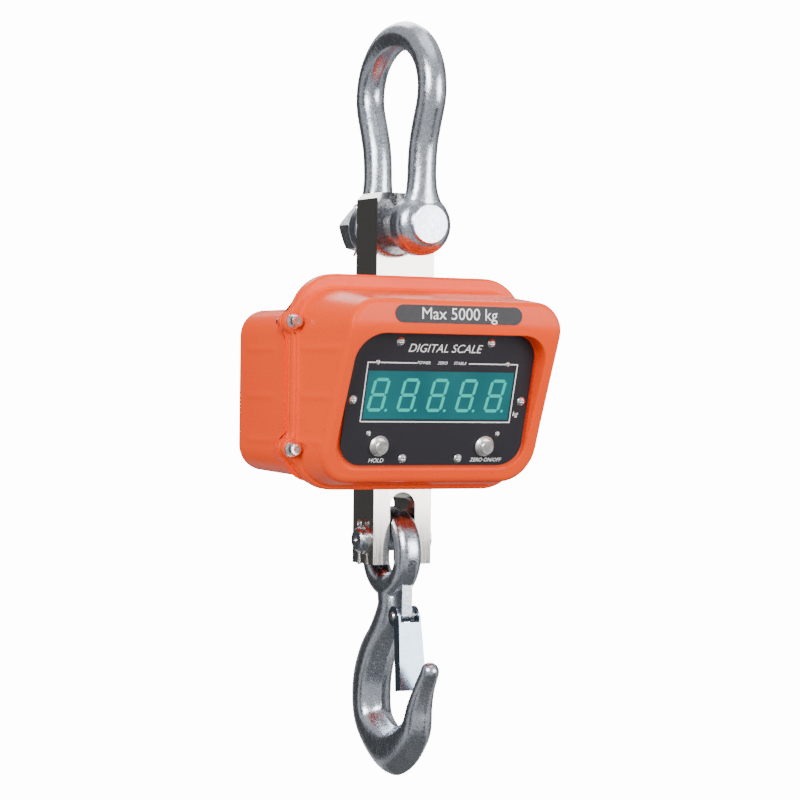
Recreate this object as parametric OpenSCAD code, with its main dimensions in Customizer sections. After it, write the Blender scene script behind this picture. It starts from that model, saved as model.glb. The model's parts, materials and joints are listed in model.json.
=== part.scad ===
// Hanging crane scale: a bow shackle on top, a load cell bar that carries the
// housing with the display, and an eye hook with a safety latch at the bottom.
// Millimetres. X is to the right, -Y is the display side, +Z is up.
// The origin is the inside top of the bow, where the scale is hung.

/* [Shackle] */
// Diameter of the bow's round bar
bar_d = 24; // [22:0.5:25]
// Half width of the bow's crown, to the middle of the bar
crown_w = 55.5; // [54:0.5:57]
// Height of the bow's crown above its widest place
crown_h = 48.4; // [47:0.2:50]
// How far the shackle sits forward on its pin
bow_shift = 5.8; // [4:0.2:7]
// Depth of the pin below the inside top of the bow
pin_drop = 149.6; // [145:0.2:155]
// Radius of the round ears
ear_r = 25.8; // [25:0.2:26.6]
// Thickness of an ear
ear_t = 23.5; // [22:0.5:24]
// Diameter of the shackle pin
shackle_pin_d = 28; // [26:0.5:28]

/* [Load cell] */
// Width of the load cell bar
bar_w = 55; // [54:0.5:56]
// Thickness of the load cell bar
bar_t = 38; // [37:0.5:38]
// Height of the bar above the shackle pin
bar_top = 28; // [26:1:30]
// Height from the shackle pin down to the hook pin
pin_to_pin = 265; // [263:1:268]
// Length of the bar below the hook pin
bar_tail = 20.4; // [20:0.2:24]
// Width of the slot that the hook's eye hangs in
slot_w = 24; // [23.5:0.5:28]
// Diameter of the hook pin
hook_pin_d = 20; // [19:0.5:20]

/* [Housing] */
// Depth of the housing's datum line below the inside top of the bow
case_drop = 283.6; // [283:0.2:285]
// Half width of the housing's flange
flange_w = 109.5; // [109:0.5:111]
// Top of the flange above the datum line
flange_up = 91.6; // [90:0.2:93]
// Bottom of the flange below the datum line
flange_down = 87.7; // [86:0.2:89]
// Corner radius of the flange
flange_r = 39; // [36:1:42]
// Wall thickness of both castings
wall = 4; // [3.5:0.5:5]
// Depth of the rear casting behind the load cell's middle plane
rear_depth = 88; // [86:1:92]
// Distance of the hood's front edge from the middle plane
hood_depth = 112.6; // [112:0.2:114]
// Distance of the four housing screws from the middle
screw_x = 110.5; // [110:0.5:112]

/* [Display panel] */
// Lean of the panel, in degrees: its top edge is further forward
panel_tilt = 15; // [14:0.5:16]
// Half width of the panel
panel_w = 85.3; // [84:0.1:86]
// Half height of the panel
panel_h = 56; // [55:0.5:56]
// Half width of the display window
window_w = 68.5; // [68:0.5:69]
// Half height of the display window
window_h = 20.6; // [20.5:0.1:21]
// Distance from the middle to each push button
button_u = 49.7; // [49:0.1:50]
// Travel of a push button
button_travel = 1.5; // [1:0.1:1.8]

/* [Hook] */
// Outer radius of the hook's eye
eye_r = 39; // [38:0.5:39]
// Radius of the hole in the hook's eye
eye_hole_r = 21; // [20:0.5:21]
// Thickness of the hook's eye
eye_t = 22.4; // [21:0.2:23]
// Thickness of the latch's sheet
latch_t = 1.5; // [1.2:0.1:2]

/* [Hidden] */
$fn = 64;
eps = 0.02;
fit = 0.05;          // radial clearance of a fixed pin or screw in its hole
run = 0.06;          // radial clearance of a turning fit
hidden_fn = 32;      // facets of the rounded corners inside a hull
steel = "silver";
zinc = [0.70, 0.72, 0.74];
orange = [1.0, 0.43, 0.16];
black = [0.16, 0.15, 0.17];
rubber = [0.10, 0.10, 0.10];
board_green = [0.05, 0.30, 0.18];

// Shackle, in Y from the middle between its ears
pin_z = -pin_drop;
crown_z = bar_d / 2 - crown_h;
ear_y = 41;
ear_in = ear_y - ear_t / 2;
ear_out = ear_y + ear_t / 2;
ear_edge = 11;       // rounding of an ear's outer edge
pin_head_d = 33.6;
pin_head_t = 3.5;
thread_d = 24;
nut_af = 36;
nut_t = 21;
nut_turn = 10;       // how far round the nut was tightened, in degrees
tail_l = 28;         // threaded tail of the shackle pin behind the ear
spacer_r = 17;
side_gap = 0.3;      // air between pieces that turn against each other

// Load cell
bar_hi = pin_z + bar_top;
hook_z = pin_z - pin_to_pin;
bar_lo = hook_z - bar_tail;
slot_top = hook_z + 40.7;
hook_pin_end = 34.2; // how far the hook pin reaches to the left
split_x = -30.9;     // split pin of the hook pin
bracket_z = -case_drop - 3.4;

// Housing
flange_front = -31;
gasket_front = -23.5;
gasket_back = -22.5;
flange_back = -18;
screw_z = [51.2, -53.9];
rear_w = 108.8;
rear_up = 62.7;
rear_down = 77.8;
rear_r = 22;
rear_taper = 2.3;    // how much narrower the rear casting is at its back, on each side
rear_rise = 3.4;     // and how much its underside rises
lug_r = 8;
lug_back = 26;       // length of the rear casting's screw bosses
hood_up = 79.2;      // hood where it meets the flange
hood_down = 84.4;
hood_w = 105.5;
crease_up = 46.3;    // edge between the brow and the leaning rim
brow_up = 69.4;
brow_w = 97.5;
brow_r = 23;
rim_w = 101;
rim_foot = [-58.8, -80.2];
socket_y = 40;
socket_z = -case_drop - 8;
side_wall_x = 108;
// Hinge of the charge socket's cap, from the socket's centre
cap_hinge_x = 3.2;
cap_hinge_z = 12.4;
board_x = [52, 92];  // posts of the main board
board_z = [-36, 36];

// Panel frame: u to the right, v up the slope, n outwards
panel_y = -79.65;
panel_z = -12;
sheet_t = 1.5;
pad_t = 0.8;
web_t = 4;
floor_n = -sheet_t - pad_t;
web_n = floor_n - web_t;
window_v = 3.7;
digit_pitch = 27.4;
digit_h = 40.5;
module_t = 8;
board_n = -10.6;
board_t = 1.6;
board_screws = [[-60.8, 31.2], [60.8, 31.2], [-60.8, -28.9], [60.8, -28.9]];
panel_screws = [[-42.6, 49], [42.6, 49], [-79.1, -0.6], [79.1, -0.6], [-26.2, -50.5], [26.2, -50.5]];
button_v = -39.5;
button_r = 6;
bezel_r = 8.8;
bezel_h = 2.4;
body_r = 7.9;
plate_half = 59;     // half length of the capacity plate
plate_h = 14.5;
plate_up = 57.7;

// Hook: widest line of the bar in Y and Z below the datum line, then how deep the bar is
// inside and outside that line, and its half width
eye_z = hook_z + hook_pin_d / 2 + run - eye_hole_r;
hook_path = [
    [0, -165, 15, 15, 11], [-2, -190, 14, 15.5, 11.6], [9, -211, 15, 15.5, 13.4],
    [21, -231, 15, 20.5, 15.2], [30, -258, 15, 23, 16], [25, -287.5, 15, 21.5, 16],
    [-11, -305, 16, 26, 15.5], [-44, -290.5, 16, 15.5, 13], [-53, -268, 11.5, 11, 10.8],
    [-60.5, -252, 9, 9, 9], [-70.5, -237, 7.6, 7.6, 7.8]
];
tip_r = 7.8;
hook_sides = 20;
hook_steps = 3;
bow_sides = 20;
bow_steps = 2;
latch_pivot = [-24, -case_drop - 194.6];
latch_tilt = -7.8;
latch_pin_d = 5;
latch_ear_r = 8.5;
latch_face = 9;      // distance of the latch's face in front of its pivot
latch_in = 9;        // inside half width of the latch at its ears
latch_low = 63;      // length of the latch below its pivot
latch_out = 11.2;    // inside half width of the latch at its lower end
rib_w = 4.8;         // half width of the rib that carries the latch
rib_r = 5.4;

// ---- placing helpers ----

module along_y() { rotate([-90, 0, 0]) children(); }
module along_x() { rotate([0, 90, 0]) children(); }

// Moves to the shackle pin, with Z along it towards the nut
module at_shackle() { translate([0, -bow_shift, pin_z]) along_y() children(); }

// A flat outline in X and Z, thick from one Y to a larger one
module y_slab(front, back) {
    translate([0, back, 0]) rotate([90, 0, 0]) linear_extrude(back - front) children();
}

// Moves to the display panel's own frame
module on_panel() {
    translate([0, panel_y, panel_z - case_drop]) rotate([90 + panel_tilt, 0, 0]) children();
}

module panel_slab(low, high) {
    on_panel() translate([0, 0, low]) linear_extrude(high - low) children();
}

// A rectangle from x0,y0 to x1,y1 with round corners
module round_rect(x0, y0, x1, y1, r) {
    translate([x0 + r, y0]) square([x1 - x0 - 2 * r, y1 - y0]);
    translate([x0, y0 + r]) square([x1 - x0, y1 - y0 - 2 * r]);
    for (x = [x0 + r, x1 - r], y = [y0 + r, y1 - r]) translate([x, y]) circle(r);
}

// An outline about the datum line: half width, height above and depth below it
module case_outline(half, up, down, r) {
    translate([0, -case_drop]) round_rect(-half, -down, half, up, r);
}

module stadium(half, h) {
    square([2 * half - h, h], center = true);
    for (x = [-half + h / 2, half - h / 2]) translate([x, 0]) circle(d = h);
}

module ring(r_out, r_in, h) {
    difference() {
        cylinder(r = r_out, h = h);
        translate([0, 0, -eps]) cylinder(r = r_in, h = h + 2 * eps);
    }
}

// Split pin pointing down, with its eye above and two spread ends below
module split_pin(d, reach, eye, leg, spread) {
    cylinder(d = d, h = reach, center = true);
    translate([0, 0, reach / 2 + eye]) rotate([90, 0, 0])
        rotate_extrude() translate([eye, 0]) circle(d = d * 0.6);
    translate([0, 0, -reach / 2]) for (a = [-spread, spread])
        rotate([0, 180 + a, 0]) cylinder(d = d * 0.6, h = leg);
}

// Round-headed cross-recess screw: the head above z = 0, the shank below
module pan_screw(head_r, head_h, shank_r, shank_l) {
    ball = (head_r * head_r + head_h * head_h) / (2 * head_h);
    difference() {
        intersection() {
            translate([0, 0, head_h - ball]) sphere(ball);
            cylinder(r = head_r, h = head_h);
        }
        for (a = [0, 90]) rotate([0, 0, a])
            translate([0, 0, head_h]) cube([head_r * 1.1, head_r * 0.24, head_h], center = true);
    }
    translate([0, 0, -shank_l]) cylinder(r = shank_r, h = shank_l + eps);
}

// ---- bent bars ----
// A bar bent in the YZ plane is a list of rows. Each row is Y, Z, half depth in the plane towards
// the inside of the bend, half depth towards the outside, and half width in X.

function row_at(rows, i) = rows[max(0, min(len(rows) - 1, i))];
// Unit vector along the path at row i, in Y and Z
function heading(rows, i) =
    let (a = row_at(rows, i - 1), b = row_at(rows, i + 1), d = [b[0] - a[0], b[1] - a[1]]) d / norm(d);
function ring_points(row, dir, sides) = [for (k = [0:sides - 1])
    let (a = 360 * k / sides, off = cos(a) * (cos(a) > 0 ? row[3] : row[2]))
    [row[4] * sin(a), row[0] - dir[1] * off, row[1] + dir[0] * off]];

// Catmull-Rom point between rows i and i+1 of a list
function blend_row(rows, i, t) =
    0.5 * (2 * row_at(rows, i) + t * (row_at(rows, i + 1) - row_at(rows, i - 1))
    + t * t * (2 * row_at(rows, i - 1) - 5 * row_at(rows, i)
        + 4 * row_at(rows, i + 1) - row_at(rows, i + 2))
    + t * t * t * (3 * row_at(rows, i) - row_at(rows, i - 1)
        - 3 * row_at(rows, i + 1) + row_at(rows, i + 2)));
function fine_rows(rows, steps) = concat(
    [for (i = [0:len(rows) - 2], k = [0:steps - 1]) blend_row(rows, i, k / steps)], [rows[len(rows) - 1]]);

module swept_bar(rows, sides) {
    n = len(rows);
    points = [for (i = [0:n - 1]) each ring_points(rows[i], heading(rows, i), sides)];
    side_faces = [for (i = [0:n - 2], k = [0:sides - 1])
        let (a = i * sides + k, b = i * sides + (k + 1) % sides) [a, a + sides, b + sides, b]];
    caps = [[for (k = [0:sides - 1]) k], [for (k = [sides - 1:-1:0]) (n - 1) * sides + k]];
    polyhedron(points, concat(side_faces, caps), convexity = 6);
}

// ---- shackle ----

// One leg from its flat ear up to the crown: Y, height above the pin, half depth, half width
bow_leg = [
    [41, -6, 10.8, 17], [41, 8, 11, 18.5], [40.6, 18, 11.2, 17], [39.7, 27.6, 11.6, 13.4],
    [39.4, 39.6, 12, 12], [39.8, 52.6, 12, 12], [42, 68.6, 12, 12], [47.2, 84.2, 12, 12]
];
function bow_row(r, side) = [side * r[0], pin_z + r[1], r[2], r[2], r[3]];
bow_rows = concat(
    [for (r = bow_leg) bow_row(r, 1)],
    [for (a = [100:-20:-100])
        [crown_w * sin(a), crown_z + crown_h * cos(a), bar_d / 2, bar_d / 2, bar_d / 2]],
    [for (i = [len(bow_leg) - 1:-1:0]) bow_row(bow_leg[i], -1)]);

// Round ear with a rounded outer edge, on the nut's side of the shackle
module shackle_ear() {
    rotate_extrude() {
        translate([0, ear_in]) square([ear_r, ear_t - ear_edge]);
        translate([0, ear_in]) square([ear_r - ear_edge, ear_t]);
        translate([ear_r - ear_edge, ear_out - ear_edge]) intersection() {
            circle(ear_edge);
            square(ear_edge);
        }
    }
}

module shackle_bow() {
    color(zinc) difference() {
        union() {
            translate([0, -bow_shift, 0]) swept_bar(fine_rows(bow_rows, bow_steps), bow_sides);
            at_shackle() for (s = [0, 1]) mirror([0, 0, s]) shackle_ear();
        }
        at_shackle() cylinder(d = shackle_pin_d + 2 * fit, h = 200, center = true);
    }
}

module shackle_pin() {
    split_z = ear_out + nut_t + 2.8;
    color(zinc) at_shackle() difference() {
        union() {
            translate([0, 0, -ear_out - pin_head_t]) cylinder(d1 = pin_head_d - 2, d2 = pin_head_d, h = 1);
            translate([0, 0, -ear_out - pin_head_t + 1]) cylinder(d = pin_head_d, h = pin_head_t - 1);
            translate([0, 0, -ear_out]) cylinder(d = shackle_pin_d, h = 2 * ear_out);
            translate([0, 0, ear_out]) cylinder(d = thread_d, h = tail_l - 2);
            translate([0, 0, ear_out + tail_l - 2]) cylinder(d1 = thread_d, d2 = thread_d - 4, h = 2);
        }
        translate([0, 0, split_z]) rotate([90, 0, 0]) cylinder(d = 4 + 2 * fit, h = 40, center = true);
    }
}

module shackle_nut() {
    color(zinc) at_shackle() translate([0, 0, ear_out]) difference() {
        intersection() {
            rotate([0, 0, nut_turn]) cylinder(d = nut_af / cos(30), h = nut_t, $fn = 6);
            rotate_extrude() polygon([[0, 0], [nut_af / 2 + 0.6, 0], [nut_af / 2 + 3, 1.6],
                [nut_af / 2 + 3, nut_t - 1.6], [nut_af / 2 + 0.6, nut_t], [0, nut_t]]);
        }
        translate([0, 0, -eps]) cylinder(d = thread_d + 2 * fit, h = nut_t + 2 * eps);
    }
}

module shackle_split_pin() {
    color(steel) translate([0, ear_out + nut_t + 2.8 - bow_shift, pin_z]) split_pin(4, 31, 3.6, 7, 28);
}

// Rings that keep the load cell from sliding along the pin
module pin_spacers() {
    front_l = ear_in + bow_shift - bar_t / 2 - side_gap;
    back_l = ear_in - bow_shift - bar_t / 2 - side_gap;
    color(zinc) translate([0, 0, pin_z]) along_y() {
        translate([0, 0, -bar_t / 2 - side_gap - front_l]) ring(spacer_r, shackle_pin_d / 2 + fit, front_l);
        translate([0, 0, bar_t / 2 + side_gap]) ring(spacer_r, shackle_pin_d / 2 + fit, back_l);
    }
}

// ---- load cell ----

module load_cell() {
    color(steel) difference() {
        translate([-bar_w / 2, -bar_t / 2, bar_lo]) cube([bar_w, bar_t, bar_hi - bar_lo]);
        // Sloped corners at the top
        for (s = [-1, 1]) translate([s * bar_w / 2, 0, bar_hi]) rotate([0, 45, 0])
            cube([7, bar_t + 1, 7], center = true);
        translate([0, -bar_t, pin_z]) along_y() cylinder(d = shackle_pin_d + 2 * run, h = 2 * bar_t);
        // Slot with a round top for the hook's eye
        y_slab(-bar_t, bar_t) {
            translate([-slot_w / 2, bar_lo - 1]) square([slot_w, slot_top - slot_w / 2 - bar_lo + 1]);
            translate([0, slot_top - slot_w / 2]) circle(d = slot_w);
        }
        translate([-bar_w, 0, hook_z]) along_x() cylinder(d = hook_pin_d + 2 * fit, h = 2 * bar_w);
        // Gauge pockets, one from each side, and the tapped holes of the bracket
        for (s = [-1, 1]) translate([s * (bar_w / 2 + 1), 0, -case_drop + 32])
            rotate([0, -s * 90, 0]) cylinder(d = 26, h = 18);
        for (x = [-15, 15]) translate([x, -bar_t / 2 - 1, bracket_z]) along_y() cylinder(r = 3, h = 14);
    }
}

module strain_gauges() {
    color([0.80, 0.62, 0.25]) for (s = [-1, 1])
        translate([s * (bar_w / 2 - 17 + 0.4), 0, -case_drop + 32]) cube([0.8, 7, 12], center = true);
}

module gauge_covers() {
    color("gray") for (s = [-1, 1]) translate([s * (bar_w / 2 - 2), 0, -case_drop + 32])
        rotate([0, s * 90, 0]) cylinder(d = 26 - 2 * fit, h = 2);
}

// Round lead from the right gauge cover to the main board
module cell_cable() {
    color(rubber) translate([0, 0, -case_drop + 32]) {
        translate([bar_w / 2, 0, 0]) along_x() cylinder(d = 4, h = 7);
        translate([bar_w / 2 + 7, 10, 0]) rotate([0, 0, -90]) rotate_extrude(angle = 90)
            translate([10, 0]) circle(d = 4);
        translate([bar_w / 2 + 17, 10, 0]) along_y() cylinder(d = 4, h = 54);
    }
}

module hook_pin() {
    color(zinc) difference() {
        translate([0, 0, hook_z]) along_x() union() {
            translate([0, 0, 1.5 - hook_pin_end])
                cylinder(d = hook_pin_d, h = hook_pin_end + bar_w / 2 - 1.5);
            translate([0, 0, -hook_pin_end]) cylinder(d1 = hook_pin_d - 3, d2 = hook_pin_d, h = 1.5);
            translate([0, 0, bar_w / 2]) cylinder(d = 26, h = 4);
            translate([0, 0, bar_w / 2 + 4]) cylinder(d1 = 26, d2 = 23, h = 1.2);
        }
        translate([split_x, 0, hook_z]) cylinder(d = 3.2 + 2 * fit, h = 40, center = true);
        translate([-hook_pin_end - 1, 0, hook_z]) along_x() cylinder(d1 = 7, d2 = 1, h = 3);
    }
}

module hook_pin_washer() {
    color(zinc) translate([-bar_w / 2 - 1.4, 0, hook_z]) along_x() ring(12.5, hook_pin_d / 2 + fit, 1.4);
}

module hook_split_pin() {
    color(steel) translate([split_x, 0, hook_z]) rotate([0, 0, 90]) split_pin(3.2, 22, 2.6, 10, 9);
}

// ---- housing ----

// The rear casting's outer or inner form, made smaller all round by inset
module rear_form(inset, front) {
    hull() {
        y_slab(front, front + 1)
            case_outline(rear_w - inset, rear_up - inset, rear_down - inset, rear_r - inset, $fn = hidden_fn);
        // Each step of the back edge's rounding: distance from the back, distance inwards
        for (edge = [[9, 0], [3.2, 2.4], [0, 8.5]]) {
            in = inset + edge[1];
            back = rear_depth - inset - edge[0];
            y_slab(back - 0.1, back) case_outline(rear_w - rear_taper - in, rear_up - in,
                rear_down - rear_rise - in, rear_r - inset - edge[1] / 2, $fn = hidden_fn);
        }
    }
}

module screw_places() {
    for (x = [-screw_x, screw_x], z = screw_z) translate([x, 0, z - case_drop]) children();
}

module cell_opening(extra) {
    translate([-bar_w / 2 - extra, -bar_t / 2 - extra, bar_lo])
        cube([bar_w + 2 * extra, bar_t + 2 * extra, bar_hi - bar_lo]);
}

module rear_housing() {
    color(orange) difference() {
        union() {
            difference() {
                union() {
                    rear_form(0, flange_back);
                    y_slab(gasket_back, flange_back)
                        case_outline(flange_w, flange_up, flange_down, flange_r);
                }
                rear_form(wall, gasket_back - 2);
            }
            screw_places() translate([0, gasket_back, 0])
                along_y() cylinder(r1 = lug_r, r2 = 5, h = lug_back);
            // Rails that the load cell bracket is screwed to
            for (s = [-1, 1]) translate([s * 82 - 24, -bar_t / 2, bracket_z - 10]) cube([48, 12, 20]);
            // Posts of the main board
            for (x = board_x, z = board_z)
                translate([x, 72, z - case_drop]) along_y() cylinder(r = 4, h = 13);
        }
        screw_places() translate([0, gasket_back - 1, 0]) along_y() cylinder(r = 3, h = 23);
        for (s = [-1, 1]) translate([s * 70, -bar_t / 2 - 1, bracket_z]) along_y() cylinder(r = 3, h = 12);
        for (x = board_x, z = board_z) translate([x, 71, z - case_drop]) along_y() cylinder(r = 1.5, h = 9);
        cell_opening(3);
        translate([side_wall_x - 12, socket_y, socket_z]) along_x() cylinder(r = 8, h = 30);
    }
}

module hood_form() {
    hull() {
        y_slab(flange_front - 0.1, flange_front)
            case_outline(hood_w, hood_up, hood_down, 33, $fn = hidden_fn);
        // The upright brow
        translate([0, 0, -case_drop]) for (s = [-1, 1])
            translate([s * (brow_w - brow_r), 0, brow_up - brow_r]) y_slab(-hood_depth, 0.1 - hood_depth)
                intersection() {
                    circle(brow_r, $fn = 2 * hidden_fn);
                    translate([-brow_r, 0]) square([2 * brow_r, brow_r]);
                }
        // The lower corners of the leaning rim
        for (s = [-1, 1]) translate([s * (rim_w - 28), rim_foot[0] - 12, rim_foot[1] + 28 - case_drop])
            rotate([90 + 23.3, 0, 0]) intersection() {
                cylinder(r = 28, h = 0.1, $fn = 2 * hidden_fn);
                translate([-28, -28, 0]) cube([56, 28, 0.1]);
            }
    }
}

module recess_outline() {
    round_rect(-89, -60, 89, 59.5, 24);
}

module front_housing() {
    color(orange) difference() {
        union() {
            hood_form();
            y_slab(flange_front, gasket_front) case_outline(flange_w, flange_up, flange_down, flange_r);
            screw_places() translate([0, flange_front, 0]) along_y()
                cylinder(r = lug_r, h = gasket_front - flange_front);
        }
        // Room behind the web, open towards the rear casting
        hull() {
            y_slab(gasket_front, gasket_front + 1)
                case_outline(hood_w - wall, hood_up - wall, hood_down - wall, 29, $fn = hidden_fn);
            y_slab(flange_front - 1, flange_front)
                case_outline(hood_w - wall, hood_up - wall, hood_down - wall, 29, $fn = hidden_fn);
            on_panel() translate([0, 0, web_n - 0.1]) linear_extrude(0.1)
                round_rect(-92, -58, 92, 60, 20, $fn = hidden_fn);
        }
        // Hollow of the brow
        translate([-80, 4 - hood_depth, 51 - case_drop]) cube([160, 30, 12]);
        // Recess of the display panel
        panel_slab(floor_n, 60) recess_outline();
        panel_slab(web_n - 1, floor_n + 1) translate([0, window_v])
            square([2 * window_w + 2, 2 * window_h + 2], center = true);
        on_panel() for (s = [-1, 1]) translate([s * button_u, button_v, -20])
            cylinder(r = body_r + fit, h = 20);
        on_panel() for (p = panel_screws) translate([p[0], p[1], -20]) cylinder(r = 2, h = 20);
        on_panel() for (p = board_screws) translate([p[0], p[1], -20]) cylinder(r = 1.6, h = 20);
        // Shallow seat of the capacity plate
        translate([0, 0, plate_up - case_drop]) y_slab(-hood_depth - 5, 0.5 - hood_depth)
            stadium(plate_half + 0.4, plate_h + 0.8);
        screw_places() translate([0, flange_front - 1, 0]) along_y() cylinder(r = 3.3, h = 10);
        screw_places() translate([0, flange_front - 20, 0]) along_y() cylinder(r = 7.2, h = 20);
    }
}

module housing_gasket() {
    color(rubber) difference() {
        y_slab(gasket_front, gasket_back) difference() {
            case_outline(flange_w - 0.6, flange_up - 0.6, flange_down - 0.6, flange_r - 0.6);
            case_outline(hood_w - wall, hood_up - wall, hood_down - wall, 29);
        }
        screw_places() translate([0, -30, 0]) along_y() cylinder(r = 7.4, h = 20);
    }
}

module housing_screws() {
    head_y = flange_front - 3.2;
    color(steel) screw_places() difference() {
        translate([0, head_y, 0]) along_y() union() {
            translate([0, 0, -6]) cylinder(r1 = 4.4, r2 = 5, h = 0.8);
            translate([0, 0, -5.2]) cylinder(r = 5, h = 5.2);
            cylinder(r = 3 - fit, h = 30);
        }
        translate([0, head_y - 7, 0]) along_y() cylinder(d = 5 / cos(30), h = 4, $fn = 6);
    }
}

module housing_lock_washers() {
    color(steel) screw_places() translate([0, flange_front - 3.2, 0]) along_y() difference() {
        ring(5.2, 3, 1.6);
        translate([0, 3, 0.8]) rotate([0, 35, 0]) cube([0.8, 8, 6], center = true);
    }
}

module housing_washers() {
    color(steel) screw_places() translate([0, flange_front - 1.6, 0]) along_y() ring(6.4, 3, 1.6);
}

// Rubber collar that closes a slot around the load cell
module cell_grommet(z, t) {
    difference() {
        translate([-bar_w / 2 - 3, -bar_t / 2 - 3, z]) cube([bar_w + 6, bar_t + 6, t]);
        cell_opening(0);
        // Nothing in front of the gasket
        translate([-60, gasket_back - 20, z - 1]) cube([120, 20, t + 2]);
    }
}

module top_grommet() {
    color(rubber) cell_grommet(rear_up - wall - case_drop, wall);
}

module bottom_grommet() {
    color(rubber) cell_grommet(-rear_down - case_drop, wall);
}

// Strap that ties the load cell to the rear casting's rails
module cell_bracket() {
    color(zinc) difference() {
        translate([-86, -bar_t / 2 - 3, bracket_z - 9]) cube([172, 3, 18]);
        for (x = [-70, -15, 15, 70]) translate([x, -bar_t, bracket_z]) along_y() cylinder(r = 3.2, h = bar_t);
    }
}

module bracket_screws() {
    color(steel) for (x = [-70, -15, 15, 70]) translate([x, -bar_t / 2 - 3, bracket_z]) along_y() {
        translate([0, 0, -4]) cylinder(d = 10 / cos(30), h = 4, $fn = 6);
        cylinder(r = 3 - fit, h = 12);
    }
}

// ---- display panel ----

module panel_outline() {
    round_rect(-panel_w, -panel_h, panel_w, panel_h, 20);
}

module panel_holes(extra) {
    for (s = [-1, 1]) translate([s * button_u, button_v]) circle(body_r + fit + extra);
    for (p = panel_screws) translate(p) circle(2 + extra);
    for (p = board_screws) translate(p) circle(1.6 + extra);
}

module front_panel() {
    color(black) panel_slab(-sheet_t, 0) difference() {
        panel_outline();
        translate([0, window_v]) square([2 * window_w, 2 * window_h], center = true);
        panel_holes(0);
    }
}

module panel_gasket() {
    color(rubber) panel_slab(-sheet_t - pad_t, -sheet_t) difference() {
        round_rect(0.5 - panel_w, 0.5 - panel_h, panel_w - 0.5, panel_h - 0.5, 19.5);
        translate([0, window_v]) square([2 * window_w + 2, 2 * window_h + 2], center = true);
        panel_holes(0.5);
    }
}

module panel_screws() {
    color(steel) on_panel() for (p = panel_screws)
        translate([p[0], p[1], 0]) pan_screw(3.9, 1.9, 2 - fit, 9);
}

module display_window() {
    color([0.10, 0.42, 0.42]) panel_slab(-sheet_t, -0.3) translate([0, window_v])
        square([2 * window_w - 0.2, 2 * window_h - 0.2], center = true);
}

module capacity_plate() {
    color(black) translate([0, 0, plate_up - case_drop])
        y_slab(-hood_depth - 0.5, 0.5 - hood_depth) stadium(plate_half, plate_h);
}

module display_board() {
    color(board_green) panel_slab(board_n - board_t, board_n) difference() {
        union() {
            translate([-68, -24]) square([136, 60]);
            for (s = [-1, 1]) translate([s * 62.2 - 4.4, -33]) square([8.8, 10]);
        }
        for (p = board_screws) translate(p) circle(1.6);
    }
}

module led_digits() {
    color([0.20, 0.60, 0.55]) for (i = [-2:2]) panel_slab(board_n, board_n + module_t)
        translate([i * digit_pitch, window_v]) square([digit_pitch - 0.2, digit_h], center = true);
}

module status_leds() {
    color("seagreen") on_panel() for (u = [-23, 0, 23]) translate([u, 29.5, board_n]) {
        cylinder(r = 1.5, h = 2.2);
        translate([0, 0, 2.2]) sphere(1.5);
    }
}

module board_spacers() {
    color(zinc) on_panel() for (p = board_screws)
        translate([p[0], p[1], board_n]) ring(2.8, 1.6, web_n - board_n);
}

module board_screws() {
    color(steel) on_panel() for (p = board_screws)
        translate([p[0], p[1], 0]) pan_screw(2.3, 1, 1.6 - fit, 14);
}

// Metal push switch: bezel, threaded body and two terminals
module push_switch(side) {
    color(steel) on_panel() translate([side * button_u, button_v, 0]) {
        difference() {
            union() {
                rotate_extrude()
                    polygon([[0, 0], [bezel_r, 0], [bezel_r, 0.8], [7.4, bezel_h], [0, bezel_h]]);
                translate([0, 0, -17]) cylinder(r = body_r, h = 17 + eps);
            }
            translate([0, 0, -7]) cylinder(r = button_r, h = 20);
        }
        for (x = [-3, 3]) translate([x - 0.4, -1.4, -22]) cube([0.8, 2.8, 5 + eps]);
    }
}

module recall_switch() { push_switch(-1); }
module tare_switch() { push_switch(1); }

module switch_nuts() {
    color(steel) on_panel() for (s = [-1, 1])
        translate([s * button_u, button_v, web_n - 3]) ring(9.2, body_r + fit, 3);
}

module push_cap(side) {
    color("gainsboro") on_panel() translate([side * button_u, button_v, 0]) rotate_extrude()
        polygon([[0, -5], [button_r - fit, -5], [button_r - fit, 5.6], [button_r - 0.8, 6.4], [0, 6.4]]);
}

module recall_button() { push_cap(-1); }
module tare_button() { push_cap(1); }

// ---- electronics ----

module main_board() {
    color(board_green) translate([0, 0, -case_drop]) difference() {
        union() {
            translate([46, 66.4, -42]) cube([52, 1.6, 84]);
            translate([54, 58.4, 10]) cube([16, 8, 12]);
            translate([76, 54.4, -24]) cube([14, 12, 20]);
        }
        for (x = board_x, z = board_z) translate([x, 60, z]) along_y() cylinder(r = 1.6, h = 10);
    }
}

module main_board_posts() {
    color(zinc) translate([0, 0, -case_drop]) for (x = board_x, z = board_z) translate([x, 0, z]) {
        translate([0, 68, 0]) along_y() ring(3.5, 1.6, 4);
        translate([0, 66.4, 0]) rotate([90, 0, 0]) pan_screw(2.8, 1.6, 1.5 - fit, 12);
    }
}

// Flat ribbon from the display board back to the main board
module display_ribbon() {
    color("slategray") translate([46, 0, -case_drop]) {
        translate([0, -62, 12]) cube([12, 116, 1]);
        translate([0, 53, 12]) cube([12, 1, 6]);
        translate([0, 53, 17]) cube([12, 5.4, 1]);
    }
}

module battery() {
    color("dimgray") translate([0, 0, -case_drop]) {
        translate([-40, 24.5, -58]) cube([70, 47, 101]);
        for (x = [-28, 18]) translate([x - 2.5, 46, 43]) cube([5, 0.8, 8]);
    }
}

module battery_strap() {
    color(zinc) translate([0, 0, -case_drop]) {
        translate([-41.5, 22.9, -20]) cube([73, 1.5, 16]);
        for (x = [-41.5, 30.1]) translate([x, 22.9, -20]) cube([1.4, 60.9, 16]);
        for (x = [-52, 30.1]) translate([x, 82.4, -20]) cube([11.9, 1.5, 16]);
    }
}

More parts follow.
